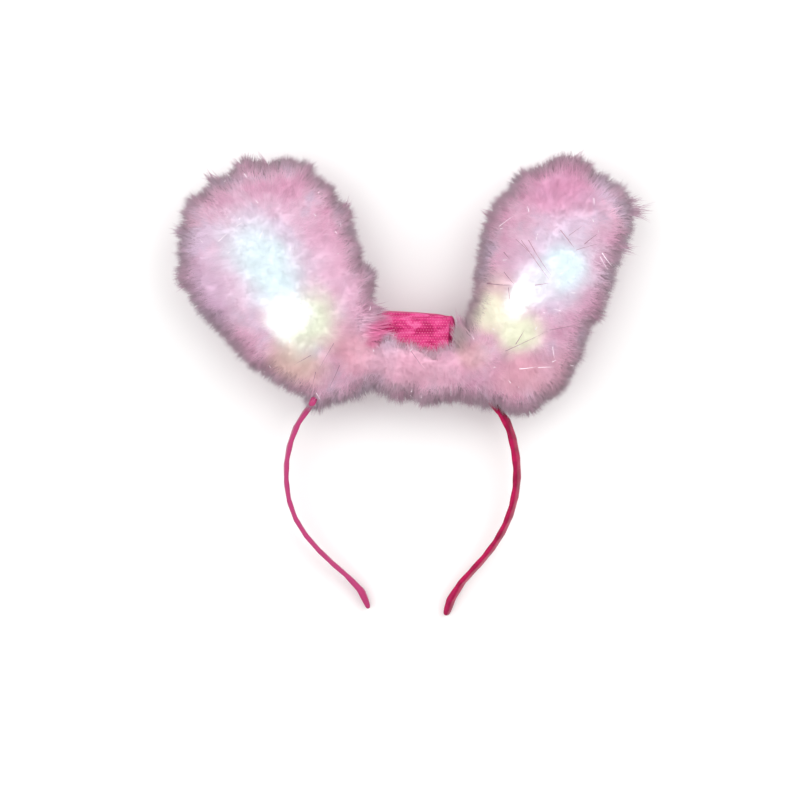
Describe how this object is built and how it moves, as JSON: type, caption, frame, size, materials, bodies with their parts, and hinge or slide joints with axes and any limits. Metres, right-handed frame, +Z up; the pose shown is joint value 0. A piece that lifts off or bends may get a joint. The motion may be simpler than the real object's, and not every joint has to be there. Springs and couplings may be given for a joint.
{
  "type": "light-up bunny ears headband",
  "caption": "Fluffy bunny ears on a ribbon-wound hard headband, with lamps inside the ears and a satin battery pouch on the crown.",
  "frame": {"origin": "on the surface that the headband lies on, under the middle of its outline", "axes": "+Z up off the surface, out of the front of the ears; +Y from the band's tips to the tips of the ears; +X towards the ear on the right"},
  "size_m": [0.2644, 0.2608, 0.0574],
  "materials": {
    "wound_satin_ribbon": "dark magenta satin ribbon wound round a hard strip",
    "glitter_satin": "hot pink satin with glitter",
    "marabou_down": "soft pink down with grey-mauve ends",
    "lamp_lens": "clear lens, lit cool white"
  },
  "bodies": {
    "root": {"headband": "wound_satin_ribbon", "battery_pouch": "glitter_satin", "ear_left": "marabou_down", "ear_right": "marabou_down", "bridge": "marabou_down", "lamp_left_lower": "lamp_lens", "lamp_left_upper": "lamp_lens", "lamp_right_lower": "lamp_lens", "lamp_right_upper": "lamp_lens"}
  },
  "joints": []
}
